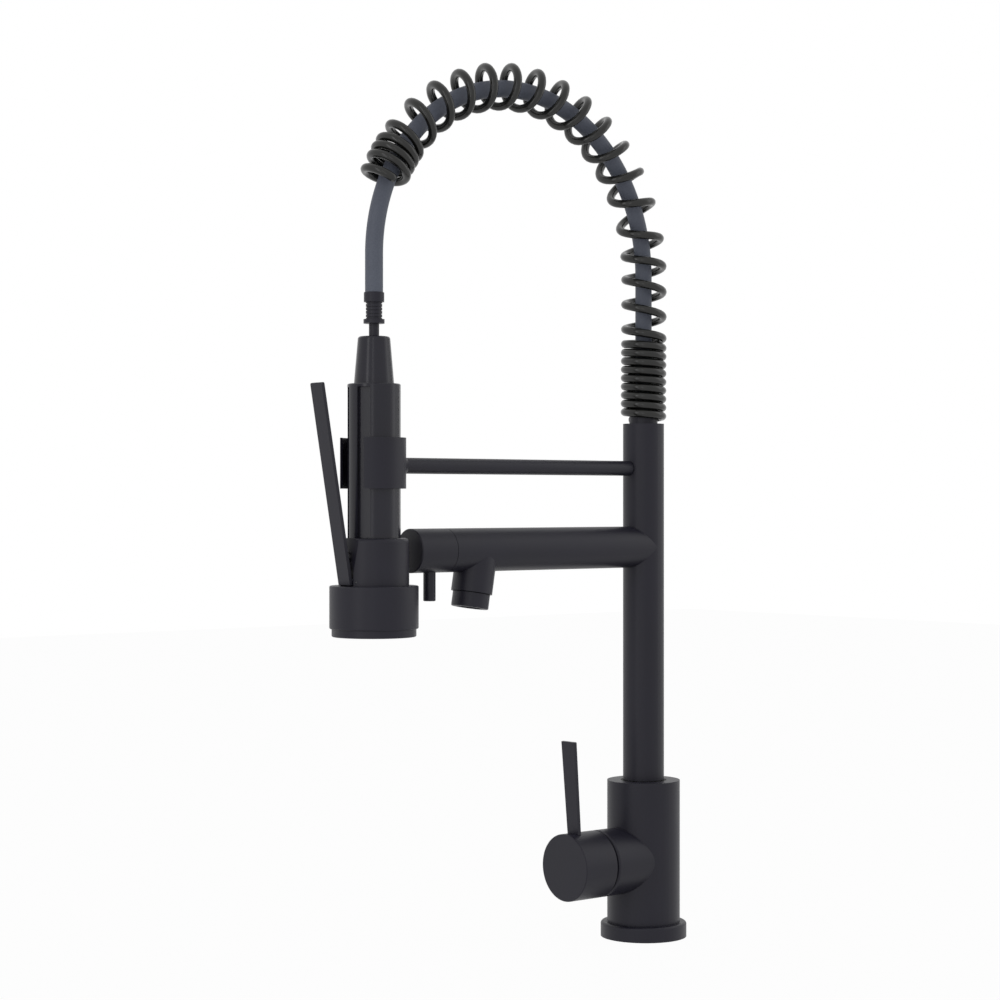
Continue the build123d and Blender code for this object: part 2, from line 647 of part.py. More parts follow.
def screw_shape(grow):
    """Countersunk screw that holds the ring to the rod; grown, it is the hole it sits in."""
    neck = ROD_FRONT + HOLDER_WALL / 4
    head = ROD_FRONT + HOLDER_WALL - SEAT_FIT
    return turned([
        (0, ROD_FRONT - 3 * ROD_R - grow),
        (HOLDER_SCREW_R + grow, ROD_FRONT - 3 * ROD_R - grow),
        (HOLDER_SCREW_R + grow, neck),
        (1.5 * HOLDER_SCREW_R + grow, head),
        (1.5 * HOLDER_SCREW_R + grow, head + 2 * grow),
        (0, head + 2 * grow),
    ] if grow else [
        (0, ROD_FRONT - 3 * ROD_R),
        (HOLDER_SCREW_R, ROD_FRONT - 3 * ROD_R),
        (HOLDER_SCREW_R, neck),
        (1.5 * HOLDER_SCREW_R, head),
        (0, head),
    ], ROD_PLANE)


with BuildPart() as holder_ring:
    holder_plane = Plane(origin=(0, -HOLDER_AXIS_OUT, 0), x_dir=(1, 0, 0), z_dir=(0, -1, 0))
    add(tube(HOLDER_R, HOLDER_BORE_R, HOLDER_BOTTOM, HOLDER_TOP, holder_plane))
    with Locations((0, -HOLDER_AXIS_OUT - HOLDER_R, (HOLDER_BOTTOM + HOLDER_TOP) / 2)):
        Box(HOLDER_OPENING, 2 * HOLDER_R, 2 * (HOLDER_TOP - HOLDER_BOTTOM), mode=Mode.SUBTRACT)
    add(screw_shape(SEAT_FIT), mode=Mode.SUBTRACT)
save(holder_ring, "holder_ring")

with BuildPart() as holder_rod:
    add(rod(ROD_TENON_R, TUBE_BORE_R + SEAT_FIT, TUBE_R, ROD_PLANE))
    add(turned([
        (0, TUBE_BORE_R),
        (ROD_R, TUBE_BORE_R),
        (ROD_R, ROD_FRONT - ROD_FLARE_H),
        (ROD_FLARE_R, ROD_FRONT),
        (ROD_FLARE_R, HOLDER_AXIS_OUT - HOLDER_R / 2),
        (0, HOLDER_AXIS_OUT - HOLDER_R / 2),
    ], ROD_PLANE))
    add(tube(2 * TUBE_R, ROD_TENON_R, 0, TUBE_R + SEAT_FIT, ROD_PLANE), mode=Mode.SUBTRACT)
    with Locations((0, -HOLDER_AXIS_OUT, ROD_Z)):
        Cylinder(HOLDER_R, 4 * ROD_R, mode=Mode.SUBTRACT)
    add(screw_shape(SEAT_FIT), mode=Mode.SUBTRACT)
    split(bisect_by=Plane(origin=(0, -TUBE_BORE_R, 0), z_dir=(0, -1, 0)), keep=Keep.TOP)
save(holder_rod, "holder_rod")

with BuildPart() as holder_screw:
    add(screw_shape(0))
save(holder_screw, "holder_screw")

# ---------------------------------------------------------------- hose and spring

SEAT_PLUG_R = TUBE_BORE_R - SEAT_FIT
SEAT_BOTTOM = HOSE_BOTTOM - SWING_GAP - 2 * TUBE_WALL

with BuildPart() as spring_seat:
    add(turned([
        (HOSE_BORE_R, SEAT_BOTTOM),
        (SEAT_PLUG_R, SEAT_BOTTOM),
        (SEAT_PLUG_R, COLUMN_TOP),
        (SEAT_BOSS_R, COLUMN_TOP),
        (SEAT_BOSS_R, COLUMN_TOP + SEAT_BOSS_H),
        (HOSE_R + SEAT_FIT, COLUMN_TOP + SEAT_BOSS_H),
        (HOSE_R + SEAT_FIT, HOSE_BOTTOM),
        (HOSE_BORE_R, HOSE_BOTTOM),
    ], UPRIGHT))
save(spring_seat, "spring_seat")

with BuildPart() as lower_hose_nipple:
    add(tube(NIPPLE_R, NIPPLE_BORE_R, SEAT_BOTTOM, HOSE_BOTTOM + 4 * HOSE_BORE_R, UPRIGHT))
save(lower_hose_nipple, "lower_hose_nipple")

ARCH_R = REACH / 2

with BuildPart() as hose:
    with BuildLine(Plane.YZ) as hose_path:
        Line((0, HOSE_BOTTOM), (0, ARCH_START))
        Line((-REACH, ARCH_START), (-REACH, HOSE_STOP))
        CenterArc((-ARCH_R, ARCH_START), ARCH_R, 0, 180)
    hose_wire = hose_path.wires()[0]
    with BuildSketch(Plane(origin=hose_wire @ 0, z_dir=hose_wire % 0)):
        Circle(HOSE_R)
        Circle(HOSE_BORE_R, mode=Mode.SUBTRACT)
    sweep(path=hose_wire)
save(hose, "hose")


def arch_frame(length):
    """Point and unit tangent, as (out, z) pairs, of the arch's centre line at a length above the column."""
    angle = (length - ARCH_START + COLUMN_TOP) / ARCH_R
    if angle <= 0:
        return (0, COLUMN_TOP + length), (0, 1)
    point = (ARCH_R - ARCH_R * cos(angle), ARCH_START + ARCH_R * sin(angle))
    return point, (sin(angle), cos(angle))


def coil_corners():
    """Corners of the spring's path: a left-handed helix round the arch's centre line."""
    pitches = [pitch for steps, pitch in COIL_STEPS for _ in range(steps)]
    corner_r = COIL_R / cos(pi / POINTS_PER_TURN)
    length = WIRE_R + SWING_GAP
    corners = []
    for step, pitch in enumerate(pitches):
        (out, z), (tangent_out, tangent_z) = arch_frame(length)
        turn = pi + 2 * pi * step / POINTS_PER_TURN
        side_x = corner_r * cos(turn)
        inward = corner_r * sin(turn) - COIL_LIFT * (step / len(pitches)) ** 2
        corners.append(Vector(side_x, -(out + tangent_z * inward), z - tangent_out * inward))
        length += pitch / POINTS_PER_TURN
    return corners


def rounded_path(corners, share=0.45):
    """Wire of straight runs joined by tangent arcs, each cutting a share of its shorter run."""
    edges = []
    last = corners[0]
    for before, corner, after in zip(corners, corners[1:], corners[2:]):
        back = before - corner
        ahead = after - corner
        cut = share * min(back.length, ahead.length)
        half = radians(back.get_angle(ahead)) / 2
        start = corner + back.normalized() * cut
        end = corner + ahead.normalized() * cut
        inwards = ((start + end) / 2 - corner).normalized()
        middle = corner + inwards * (cut / cos(half) - cut * tan(half))
        edges.append(Edge.make_line(last, start))
        edges.append(Edge.make_three_point_arc(start, middle, end))
        last = end
    edges.append(Edge.make_line(last, corners[-1]))
    return Wire(edges)


spring_wire = rounded_path(coil_corners())

with BuildPart() as spring:
    with BuildSketch(Plane(origin=spring_wire @ 0, z_dir=spring_wire % 0)):
        Circle(WIRE_R)
    sweep(path=spring_wire)
save(spring, "spring")

# ---------------------------------------------------------------- hose end

with BuildPart() as hose_nut:
    add(turned([
        (FERRULE_R, HOSE_NUT_BOTTOM),
        (HOSE_NUT_R, HOSE_NUT_BOTTOM),
        (HOSE_NUT_R, HOSE_NUT_TOP),
        (HOSE_R + RUNNING_FIT, HOSE_NUT_TOP),
        (HOSE_R + RUNNING_FIT, HOSE_STOP - RUNNING_FIT),
        (FERRULE_R, HOSE_STOP - RUNNING_FIT),
    ], SPRAY_PLANE))
    chamfer(hose_nut.edges().filter_by(GeomType.CIRCLE).group_by(Axis.Z)[-1].sort_by(SortBy.RADIUS)[-1],
            SEAT_FIT * 6)
save(hose_nut, "hose_nut")

with BuildPart() as hose_ferrule:
    add(tube(FERRULE_R, NIPPLE_R + SEAT_FIT, FERRULE_BOTTOM, HOSE_NUT_BOTTOM, SPRAY_PLANE))
    rib_pitch = (HOSE_NUT_BOTTOM - FERRULE_BOTTOM) / FERRULE_RIBS
    for rib in range(FERRULE_RIBS):
        add(tube(FERRULE_R + 1, FERRULE_R - RIB_DEPTH,
                 FERRULE_BOTTOM + rib_pitch * (rib + 0.35), FERRULE_BOTTOM + rib_pitch * (rib + 0.65),
                 SPRAY_PLANE), mode=Mode.SUBTRACT)
save(hose_ferrule, "hose_ferrule")

STEM_SOCKET = CONE_TOP - 4 * STEM_THIN_R

with BuildPart() as swivel_stem:
    add(turned([
        (NIPPLE_BORE_R, STEM_SOCKET),
        (STEM_THIN_R, STEM_SOCKET),
        (STEM_THIN_R, COLLAR_BOTTOM),
        (COLLAR_R, COLLAR_BOTTOM),
        (COLLAR_R, FERRULE_BOTTOM),
        (NIPPLE_BORE_R, FERRULE_BOTTOM),
    ], SPRAY_PLANE))
save(swivel_stem, "swivel_stem")

with BuildPart() as upper_hose_nipple:
    add(tube(NIPPLE_R, NIPPLE_BORE_R, FERRULE_BOTTOM, HOSE_STOP + 4 * HOSE_BORE_R, SPRAY_PLANE))
save(upper_hose_nipple, "upper_hose_nipple")

# ---------------------------------------------------------------- sprayer grip

CONE_SPIGOT_R = GRIP_BORE_R - SEAT_FIT
CONE_SPIGOT_H = 9.0
CHECK_R = 5.0
CHECK_BOTTOM = GRIP_TOP + 2.0
CHECK_TOP = STEM_SOCKET - SWING_GAP

with BuildPart() as top_cone:
    add(turned([
        (0, GRIP_TOP - CONE_SPIGOT_H),
        (CONE_SPIGOT_R, GRIP_TOP - CONE_SPIGOT_H),
        (CONE_SPIGOT_R, GRIP_TOP),
        (CONE_R, GRIP_TOP),
        (CONE_TOP_R, CONE_TOP),
        (0, CONE_TOP),
    ], SPRAY_PLANE))
    fillet(top_cone.edges().group_by(Axis.Z)[-1], CONE_ROUND)
    add(rod(STEM_THIN_R + RUNNING_FIT, STEM_SOCKET - SWING_GAP, CONE_TOP, SPRAY_PLANE),
        mode=Mode.SUBTRACT)
    add(rod(CHECK_R + SEAT_FIT, CHECK_BOTTOM, CHECK_TOP, SPRAY_PLANE), mode=Mode.SUBTRACT)
    add(rod(WATER_TUBE_R + SEAT_FIT, GRIP_TOP - CONE_SPIGOT_H, CHECK_BOTTOM, SPRAY_PLANE),
        mode=Mode.SUBTRACT)
save(top_cone, "top_cone")

with BuildPart() as check_valve:
    add(tube(CHECK_R, NIPPLE_BORE_R, CHECK_BOTTOM, CHECK_TOP, SPRAY_PLANE))
save(check_valve, "check_valve")

with BuildPart() as handle_shell:
    add(tube(GRIP_R, GRIP_BORE_R, GRIP_BOTTOM, GRIP_TOP, SPRAY_PLANE))
    chamfer(handle_shell.edges().group_by(Axis.Z)[-1].sort_by(SortBy.RADIUS)[-1], TUBE_WALL / 3)
    for side in (-1, 1):
        flute_turn = radians(side * FLUTE_ANGLE)
        flute_plane = Plane(
            origin=(0, -REACH, 0),
            x_dir=(cos(flute_turn), sin(flute_turn), 0),
            z_dir=(sin(flute_turn), -cos(flute_turn), 0),
        ).offset(GRIP_R - FLUTE_DEPTH)
        with BuildSketch(flute_plane):
            with Locations((0, (GRIP_BOTTOM + FLUTE_TOP) / 2)):
                Rectangle(FLUTE_W, FLUTE_TOP - GRIP_BOTTOM)
        extrude(amount=2 * FLUTE_DEPTH, mode=Mode.SUBTRACT)
save(handle_shell, "handle_shell")

with BuildPart() as water_tube:
    add(tube(WATER_TUBE_R, WATER_TUBE_R - WATER_TUBE_WALL, GRIP_BOTTOM + SWING_GAP,
             CHECK_BOTTOM - SEAT_FIT, SPRAY_PLANE))
save(water_tube, "water_tube")

# ---------------------------------------------------------------- sprayer head

HOUSING_SEAT = 3.0  # depth of the pocket that the grip screws into
SLOT_FLOOR = PIVOT_OUT - BARREL_R - SWING_GAP
FLAT_TILT = (FLAT_OUT_LOW - FLAT_OUT_HIGH) / (GRIP_BOTTOM - HOUSING_BOTTOM)
PLUNGER_TIP = SQUEEZE_OUT_LOW + (PLUNGER_Z - SQUEEZE_LOW) * (
    (SQUEEZE_OUT_HIGH - SQUEEZE_OUT_LOW) / (SQUEEZE_HIGH - SQUEEZE_LOW)
) - SQUEEZE_T / 2 - 1.2 * SWING_GAP


def radial_plane(height):
    """Plane at the sprayer's axis whose local y runs straight out to the lever."""
    return Plane(origin=(0, -REACH, height), x_dir=(0, 0, 1), z_dir=(1, 0, 0))


PLUNGER_PLANE = radial_plane(PLUNGER_Z)

with BuildPart() as valve_housing:
    add(rod(HOUSING_R, HOUSING_BOTTOM, GRIP_BOTTOM, SPRAY_PLANE))
    fillet(valve_housing.edges().group_by(Axis.Z)[-1], HOUSING_ROUND)
    with BuildSketch(Plane.YZ):  # slanted flat that faces the lever
        with BuildLine():
            Polyline(
                (-REACH - FLAT_OUT_LOW, HOUSING_BOTTOM),
                (-REACH - FLAT_OUT_LOW + FLAT_TILT * (GRIP_BOTTOM - HOUSING_BOTTOM), GRIP_BOTTOM),
                (-REACH - 2 * HOUSING_R, GRIP_BOTTOM),
                (-REACH - 2 * HOUSING_R, HOUSING_BOTTOM),
                close=True,
            )
        make_face()
    extrude(amount=HOUSING_R, both=True, mode=Mode.SUBTRACT)
    add(rod(HOUSING_BORE_R, HOUSING_BOTTOM, GRIP_BOTTOM - HOUSING_SEAT, SPRAY_PLANE), mode=Mode.SUBTRACT)
    add(rod(WATER_TUBE_R, HOUSING_BOTTOM, GRIP_BOTTOM, SPRAY_PLANE), mode=Mode.SUBTRACT)
    with Locations((0, -REACH - SLOT_FLOOR, HOUSING_BOTTOM)):  # slot for the lever's foot
        Box(SLOT_W, HOUSING_R, SLOT_TOP - HOUSING_BOTTOM,
            align=(Align.CENTER, Align.MAX, Align.MIN), mode=Mode.SUBTRACT)
    with Locations(Location((PIVOT_LENGTH / 2 + SEAT_FIT, -REACH - PIVOT_OUT, PIVOT_Z), (0, -90, 0))):
        Cylinder(PIVOT_R + SEAT_FIT, 2 * HOUSING_R, align=(Align.CENTER, Align.CENTER, Align.MIN),
                 mode=Mode.SUBTRACT)
    add(rod(PLUNGER_R + RUNNING_FIT, 0, HOUSING_R, PLUNGER_PLANE), mode=Mode.SUBTRACT)
save(valve_housing, "valve_housing")

with BuildPart() as nozzle_casing:
    add(turned([
        (HOUSING_BORE_R, HOUSING_BOTTOM - CASING_WALL),
        (CASING_R - CASING_WALL, HOUSING_BOTTOM - CASING_WALL),
        (CASING_R - CASING_WALL, CASING_BOTTOM),
        (CASING_R, CASING_BOTTOM),
        (CASING_R, HOUSING_BOTTOM),
        (HOUSING_BORE_R, HOUSING_BOTTOM),
    ], SPRAY_PLANE))
    fillet(nozzle_casing.edges().filter_by(GeomType.CIRCLE).group_by(SortBy.RADIUS)[-1], CASING_ROUND)
save(nozzle_casing, "nozzle_casing")

FACE_THREAD_R = CASING_R - CASING_WALL - SEAT_FIT

with BuildPart() as face_ring:
    add(turned([
        (FACE_BORE_R, FACE_BOTTOM),
        (FACE_RING_R, FACE_BOTTOM),
        (FACE_RING_R, CASING_BOTTOM),
        (FACE_THREAD_R, CASING_BOTTOM),
        (FACE_THREAD_R, FACE_THREAD_TOP),
        (FACE_BORE_R, FACE_THREAD_TOP),
    ], SPRAY_PLANE))
    fillet(face_ring.edges().group_by(Axis.Z)[0].sort_by(SortBy.RADIUS)[-1], CASING_ROUND)
save(face_ring, "face_ring")

FACE_T = 2.5
FACE_RECESS = 0.8
JET_R = 0.9
JET_RINGS = (6, 12, 20)
FACE_PLATE_BOTTOM = FACE_BOTTOM + FACE_RECESS
DIFFUSER_BOTTOM = FACE_THREAD_TOP - FACE_T
DIFFUSER_HOLE_R = 2.0
DIFFUSER_HOLES = 10


def spray_level(height):
    """Horizontal plane on the sprayer's axis."""
    return Plane(origin=(0, -REACH, height))


with BuildPart() as spray_face:
    add(rod(FACE_BORE_R - SEAT_FIT, FACE_PLATE_BOTTOM, FACE_PLATE_BOTTOM + FACE_T, SPRAY_PLANE))
    with BuildSketch(spray_level(FACE_PLATE_BOTTOM)):
        Circle(JET_R)
        for ring, count in enumerate(JET_RINGS, start=1):
            with PolarLocations(ring * FACE_BORE_R / (len(JET_RINGS) + 0.6), count):
                Circle(JET_R)
    extrude(amount=FACE_T, mode=Mode.SUBTRACT)
save(spray_face, "spray_face")

with BuildPart() as diffuser:
    add(rod(FACE_BORE_R - SEAT_FIT, DIFFUSER_BOTTOM, FACE_THREAD_TOP, SPRAY_PLANE))
    with BuildSketch(spray_level(DIFFUSER_BOTTOM)):
        with PolarLocations(FACE_BORE_R / 2, DIFFUSER_HOLES):
            Circle(DIFFUSER_HOLE_R)
    extrude(amount=FACE_T, mode=Mode.SUBTRACT)
save(diffuser, "diffuser")

with BuildPart() as face_seal:
    add(tube(FACE_BORE_R, FACE_BORE_R - 2 * WASHER_T, FACE_THREAD_TOP, FACE_THREAD_TOP + WASHER_T,
             SPRAY_PLANE))
save(face_seal, "face_seal")

# ---------------------------------------------------------------- squeeze lever

SQUEEZE_SLOPE = (SQUEEZE_OUT_HIGH - SQUEEZE_OUT_LOW) / (SQUEEZE_HIGH - SQUEEZE_LOW)
BAR_HALF = SQUEEZE_T / 2 * sqrt(1 + SQUEEZE_SLOPE ** 2)

with BuildPart() as squeeze_lever:
    with BuildSketch(Plane.YZ):
        with BuildLine():
            Polyline(
                (-REACH - SQUEEZE_OUT_LOW + BAR_HALF, SQUEEZE_LOW),
                (-REACH - SQUEEZE_OUT_HIGH + BAR_HALF, SQUEEZE_HIGH),
                (-REACH - SQUEEZE_OUT_HIGH - BAR_HALF, SQUEEZE_HIGH - SQUEEZE_SLOPE * SQUEEZE_T),
                (-REACH - SQUEEZE_OUT_LOW - BAR_HALF, SQUEEZE_LOW),
                close=True,
            )
        make_face()
        with Locations((-REACH - PIVOT_OUT, PIVOT_Z)):
            Circle(BARREL_R)
        with Locations((-REACH - (PIVOT_OUT + SQUEEZE_OUT_LOW) / 2, PIVOT_Z)):
            Rectangle(SQUEEZE_OUT_LOW - PIVOT_OUT, BARREL_R)
        with Locations((-REACH - PIVOT_OUT, PIVOT_Z)):
            Circle(PIVOT_R + RUNNING_FIT, mode=Mode.SUBTRACT)
    extrude(amount=SQUEEZE_W / 2, both=True)
    top_corners = squeeze_lever.faces().sort_by(Axis.Z)[-1].edges().filter_by(Axis.X, reverse=True)
    fillet(top_corners, SQUEEZE_T / 2)
save(squeeze_lever, "squeeze_lever")

with BuildPart() as lever_pin:
    with Locations(Location((0, -REACH - PIVOT_OUT, PIVOT_Z), (0, 90, 0))):
        Cylinder(PIVOT_R, PIVOT_LENGTH)
save(lever_pin, "lever_pin")

# ---------------------------------------------------------------- valve worked by the lever

SPRING_COIL_R = PLUNGER_R - VALVE_WIRE_R
VALVE_SPRING_H = HOUSING_BORE_R - 1.5 * VALVE_WIRE_R - PLUNGER_TRAVEL / 2

with BuildPart() as valve_plunger:
    add(rod(PLUNGER_R, 0, PLUNGER_TIP, PLUNGER_PLANE))
    add(rod(PLUNGER_HEAD_R, 0, PLUNGER_TRAVEL, PLUNGER_PLANE))
    fillet(valve_plunger.edges().sort_by(Axis.Y)[0], PLUNGER_R / 3)
save(valve_plunger, "valve_plunger")

with BuildPart() as valve_spring:
    with BuildLine() as valve_coil:
        Helix(4 * VALVE_WIRE_R, VALVE_SPRING_H, SPRING_COIL_R,
              center=(0, -REACH + VALVE_SPRING_H + VALVE_WIRE_R, PLUNGER_Z), direction=(0, -1, 0))
    coil_wire = valve_coil.wires()[0]
    with BuildSketch(Plane(origin=coil_wire @ 0, z_dir=coil_wire % 0)):
        Circle(VALVE_WIRE_R)
    sweep(path=coil_wire, is_frenet=True)
save(valve_spring, "valve_spring")
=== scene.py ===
"""Looks of a spring-arch pre-rinse mixer: finishes, hose, spring, jets, lights and camera.

Metres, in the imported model's frame: the origin is the middle of the base flange's underside,
+Z is up and the spout reaches towards -Y. "Out" is the distance along -Y from the column's axis.
"""

from __future__ import annotations

import logging
import math
from dataclasses import dataclass
from enum import Enum
from typing import Any, Sequence

import bpy
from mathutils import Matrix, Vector

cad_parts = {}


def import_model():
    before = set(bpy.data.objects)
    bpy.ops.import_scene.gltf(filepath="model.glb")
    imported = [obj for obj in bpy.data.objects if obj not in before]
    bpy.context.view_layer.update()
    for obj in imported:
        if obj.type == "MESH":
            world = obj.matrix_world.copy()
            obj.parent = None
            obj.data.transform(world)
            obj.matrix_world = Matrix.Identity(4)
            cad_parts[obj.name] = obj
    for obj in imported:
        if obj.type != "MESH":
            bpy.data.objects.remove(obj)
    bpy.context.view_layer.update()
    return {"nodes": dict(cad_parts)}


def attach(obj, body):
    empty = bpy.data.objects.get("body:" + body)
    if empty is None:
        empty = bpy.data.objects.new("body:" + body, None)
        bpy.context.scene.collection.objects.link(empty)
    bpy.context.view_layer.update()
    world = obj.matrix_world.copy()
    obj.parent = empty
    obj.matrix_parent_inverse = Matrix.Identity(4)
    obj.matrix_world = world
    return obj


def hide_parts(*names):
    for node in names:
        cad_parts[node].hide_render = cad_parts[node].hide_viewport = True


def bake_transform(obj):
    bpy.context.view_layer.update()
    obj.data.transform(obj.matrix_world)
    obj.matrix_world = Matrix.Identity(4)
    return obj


log = logging.getLogger("mixer")

MM = 0.001
REACH = 0.2053  # from the column's axis out to the sprayer's

GRAIN_DETAIL = 3.0
CLOUD_DETAIL = 2.0
CLOUD_MM = 25.0  # size of the broad, faint patches in every finish
CLOUD_SHARE = 0.5  # share of the patches in the noise, the rest being grain
TONE_SPAN = (0.35, 0.65)  # noise at a finish's darker and lighter tone
ROUGH_SPAN = (0.3, 0.7)  # noise at its smoothest and roughest
BUMP_STRENGTH = 0.5

Links = dict[str, bpy.types.NodeSocket]


# ------------------------------------------------------------------ finishes


def linear(hex_colour: str) -> tuple[float, float, float, float]:
    """Turns an sRGB hex colour into linear RGBA.

    Args:
        hex_colour: Six hex digits, such as "3a3a3c".

    Returns:
        Linear red, green, blue and an alpha of 1.
    """
    channels = [int(hex_colour[i : i + 2], 16) / 255 for i in (0, 2, 4)]
    red, green, blue = (
        c / 12.92 if c <= 0.04045 else ((c + 0.055) / 1.055) ** 2.4 for c in channels
    )
    return (red, green, blue, 1.0)


def add_node(
    tree: bpy.types.NodeTree,
    kind: str,
    settings: dict[str, Any] | None = None,
    links: Links | None = None,
) -> bpy.types.Node:
    """Adds one shader node with its settings and links.

    Args:
        tree: Node tree that gets the node.
        kind: Blender's type name of the node.
        settings: Values of its sockets by name, or of its attributes where no socket has the name.
        links: Sockets of earlier nodes, by the name of the input that they feed.

    Returns:
        The new node.
    """
    node = tree.nodes.new(kind)
    for name, value in (settings or {}).items():
        if name in node.inputs:
            node.inputs[name].default_value = value
        else:
            setattr(node, name, value)
    for name, socket in (links or {}).items():
        tree.links.new(socket, node.inputs[name])
    return node


class Lay(Enum):
    """Which way a finish's grain runs."""

    EVEN = (1.0, 1.0, 1.0)
    RINGS_UPRIGHT = (0.05, 0.05, 1.0)  # turned or drawn round an upright axis
    RINGS_OUT = (0.05, 1.0, 0.05)  # turned round an axis along Y


@dataclass(frozen=True)
class Finish:
    """A real surface: one Principled material with a grain of a real size.

    Attributes:
        name: Name of the material.
        dark: sRGB hex of its darker tone.
        light: sRGB hex of its lighter tone.
        roughness: Middle roughness.
        spread: How far the roughness strays from the middle.
        grain_mm: Size of the grain.
        relief_mm: Height of the grain's relief.
        metallic: 1 for bare metal, 0 for a coating, plastic or rubber.
        specular: Specular level, 0.5 for the plain IOR.
        coat: Weight of a clear top layer.
        lay: Which way the grain runs.
    """

    name: str
    dark: str
    light: str
    roughness: float
    spread: float
    grain_mm: float
    relief_mm: float
    metallic: float = 0.0
    specular: float = 0.5
    coat: float = 0.0
    lay: Lay = Lay.EVEN

    def build(self) -> bpy.types.Material:
        """Makes the material.

        Returns:
            The node material.
        """
        material = bpy.data.materials.new(self.name)
        material.use_nodes = True
        tree = material.node_tree
        tree.nodes.clear()
        place = add_node(tree, "ShaderNodeTexCoord")
        grain_place = add_node(
            tree,
            "ShaderNodeMapping",
            {"Scale": self.lay.value},
            {"Vector": place.outputs["Object"]},
        )
        grain = add_node(
            tree,
            "ShaderNodeTexNoise",
            {"Scale": 1.0 / (self.grain_mm * MM), "Detail": GRAIN_DETAIL},
            {"Vector": grain_place.outputs["Vector"]},
        )
        cloud = add_node(
            tree,
            "ShaderNodeTexNoise",
            {"Scale": 1.0 / (CLOUD_MM * MM), "Detail": CLOUD_DETAIL},
            {"Vector": place.outputs["Object"]},
        )
        mixed = add_node(
            tree,
            "ShaderNodeMix",
            {"data_type": "FLOAT", "Factor": CLOUD_SHARE},
            {"A": grain.outputs["Fac"], "B": cloud.outputs["Fac"]},
        )
        tone = add_node(tree, "ShaderNodeValToRGB", None, {"Fac": mixed.outputs["Result"]})
        low, high = tone.color_ramp.elements
        low.position, high.position = TONE_SPAN
        low.color, high.color = linear(self.dark), linear(self.light)
        rough = add_node(
            tree,
            "ShaderNodeMapRange",
            {
                "From Min": ROUGH_SPAN[0],
                "From Max": ROUGH_SPAN[1],
                "To Min": self.roughness - self.spread,
                "To Max": self.roughness + self.spread,
            },
            {"Value": mixed.outputs["Result"]},
        )
        bump = add_node(
            tree,
            "ShaderNodeBump",
            {"Strength": BUMP_STRENGTH, "Distance": self.relief_mm * MM},
            {"Height": grain.outputs["Fac"]},
        )
        shader = add_node(
            tree,
            "ShaderNodeBsdfPrincipled",
            {
                "Metallic": self.metallic,
                "Specular IOR Level": self.specular,
                "Coat Weight": self.coat,
            },
            {
                "Base Color": tone.outputs["Color"],
                "Roughness": rough.outputs["Result"],
                "Normal": bump.outputs["Normal"],
            },
        )
        add_node(tree, "ShaderNodeOutputMaterial", None, {"Surface": shader.outputs["BSDF"]})
        return material


class Surface(Enum):
    """Every finish on the mixer."""

    # Brass, electrophoretically coated satin black, and the moulded parts made to match: an
    # even skin with a cool cast, whose faint orange peel spreads highlights into soft bands.
    SATIN_BLACK = Finish(
        "satin_black_coating", "1c1b25", "201f2a", 0.44, 0.04, 0.6, 0.004, specular=0.29
    )
    # Spring steel under a thinner coat that polishes as turns rub: glossier, neutral black.
    COATED_WIRE = Finish(
        "black_coated_spring_wire", "121210", "171715", 0.24, 0.05, 0.5, 0.004, specular=0.45
    )
    # ABS, moulded and painted in the metal's tone over a smoother face: tighter highlights.
    MOULDED_BLACK = Finish(
        "painted_abs_black", "1c1b25", "201f2a", 0.23, 0.03, 0.4, 0.003, specular=0.31
    )
    # PVC hose, extruded: slate grey and matt, with a faint mottle.
    HOSE_SKIN = Finish(
        "slate_pvc_hose", "565a66", "626773", 0.55, 0.06, 0.8, 0.010, specular=0.3
    )
    # EPDM and silicone, moulded: matt and nearly black.
    ELASTOMER = Finish(
        "moulded_elastomer", "111112", "161617", 0.7, 0.05, 0.3, 0.006, specular=0.25
    )
    # Brass, turned and left bare where water runs: warm, with fine tool rings.
    TURNED_BRASS = Finish(
        "turned_brass", "a8843f", "c9a55c", 0.3, 0.08, 0.25, 0.004, 1.0, lay=Lay.RINGS_UPRIGHT
    )
    # Stainless steel, turned: cool grey with fine rings.
    TURNED_STEEL = Finish(
        "turned_stainless", "8d8d8f", "a9a9ab", 0.32, 0.08, 0.2, 0.003, 1.0, lay=Lay.RINGS_OUT
    )
    # Acetal, moulded: waxy off-white.
    ACETAL = Finish("moulded_acetal", "cfcdc6", "dcdad3", 0.4, 0.05, 0.5, 0.004)
    # Alumina, lapped flat: cool white with a hard shine.
    CERAMIC = Finish("lapped_alumina", "d6d7d8", "e3e4e5", 0.15, 0.04, 0.3, 0.001, coat=0.2)


class Paintbox:
    """Builds each finish once and hands it out."""

    def __init__(self) -> None:
        """Starts with no material built."""
        self.made: dict[Surface, bpy.types.Material] = {}

    def get(self, surface: Surface) -> bpy.types.Material:
        """Material of a surface, built at its first use.

        Args:
            surface: The finish wanted.

        Returns:
            Its material.
        """
        if surface not in self.made:
            self.made[surface] = surface.value.build()
        return self.made[surface]

    def dress(self, piece: bpy.types.Object, surface: Surface) -> None:
        """Gives a piece one finish all over.

        Args:
            piece: Mesh object to dress.
            surface: Its finish.
        """
        piece.data.materials.clear()
        piece.data.materials.append(self.get(surface))


# ------------------------------------------------------------------ shapes


def mesh_piece(
    name: str, points: Sequence[Vector], faces: Sequence[Sequence[int]]
) -> bpy.types.Object:
    """Makes a smooth-shaded mesh object.

    Args:
        name: Name of the piece.
        points: Its vertices, in the model's frame.
        faces: Vertex numbers of each face.

    Returns:
        The object, linked to the scene.
    """
    mesh = bpy.data.meshes.new(name)
    mesh.from_pydata([tuple(p) for p in points], [], [list(f) for f in faces])
    mesh.validate()
    mesh.shade_smooth()
    piece = bpy.data.objects.new(name, mesh)
    bpy.context.scene.collection.objects.link(piece)
    return piece


